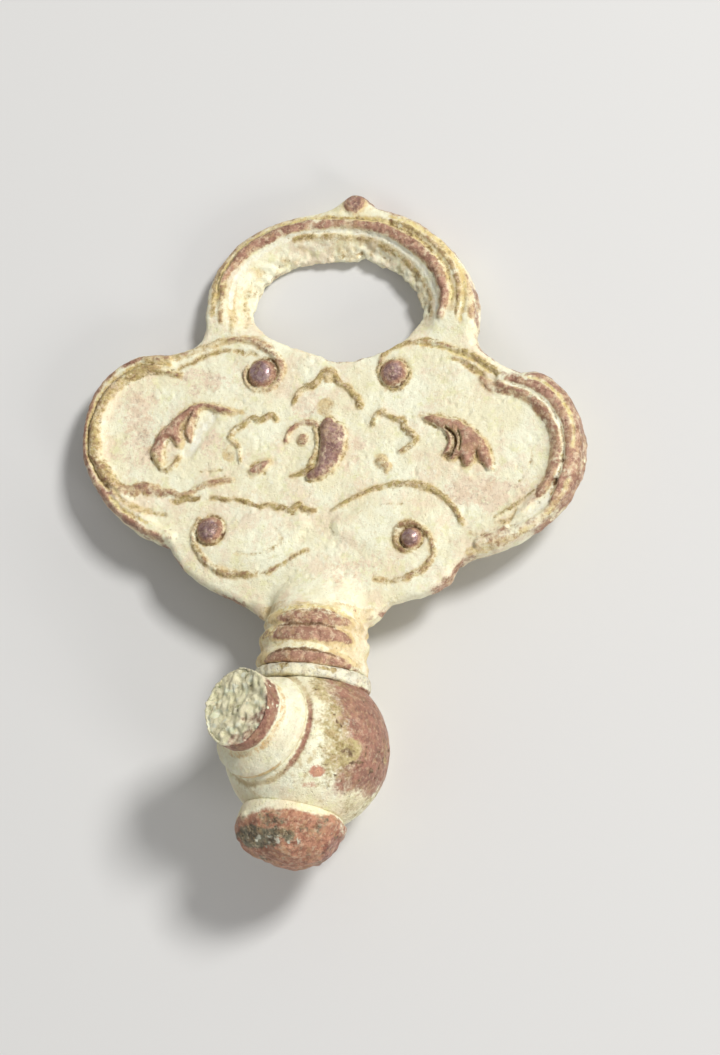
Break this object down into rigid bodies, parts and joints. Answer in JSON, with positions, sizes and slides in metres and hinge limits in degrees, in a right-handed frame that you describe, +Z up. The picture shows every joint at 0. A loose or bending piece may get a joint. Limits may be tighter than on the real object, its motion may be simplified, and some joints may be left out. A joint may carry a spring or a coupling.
{
  "type": "clock key",
  "caption": "Old cast clock key with a scrolled ornamental bow, a hanging ring, a turned neck, and a swivelling ball with broken pipe roots.",
  "frame": {"origin": "centre of the key's bounding box, on the surface the key lies on", "axes": "+Z up with the decorated face upwards, +Y along the key from the ball to the ring, +X to the right of the face"},
  "size_m": [0.0386, 0.05, 0.0141],
  "materials": {
    "bow_bronze": "cast, worn, with a dry cream and pale yellow patina and brown metal on the high places",
    "ball_bronze": "turned, cream patina with a large bare mauve-brown and olive patch",
    "collar_brass": "dull, pale grey-cream patina",
    "side_root_brass": "cream patina, greenish grey rough break",
    "lower_root_brass": "red-brown rough break with a pale rim and a grey-green patch",
    "stem_steel": "browned steel, hidden in the neck"
  },
  "bodies": {
    "bow": {"bow": "bow_bronze", "neck_collar": "collar_brass", "keeper_pin": "stem_steel"},
    "hub": {"hub_ball": "ball_bronze", "swivel_stem": "stem_steel", "side_pipe_root": "side_root_brass", "lower_pipe_root": "lower_root_brass"}
  },
  "joints": [
    {"name": "hub_swivel", "type": "hinge", "parent": "bow", "child": "hub", "pos_m": [0.00021, -0.01655, 0.006], "axis": [0.0055, 0.9922, -0.1243], "continuous": true}
  ]
}
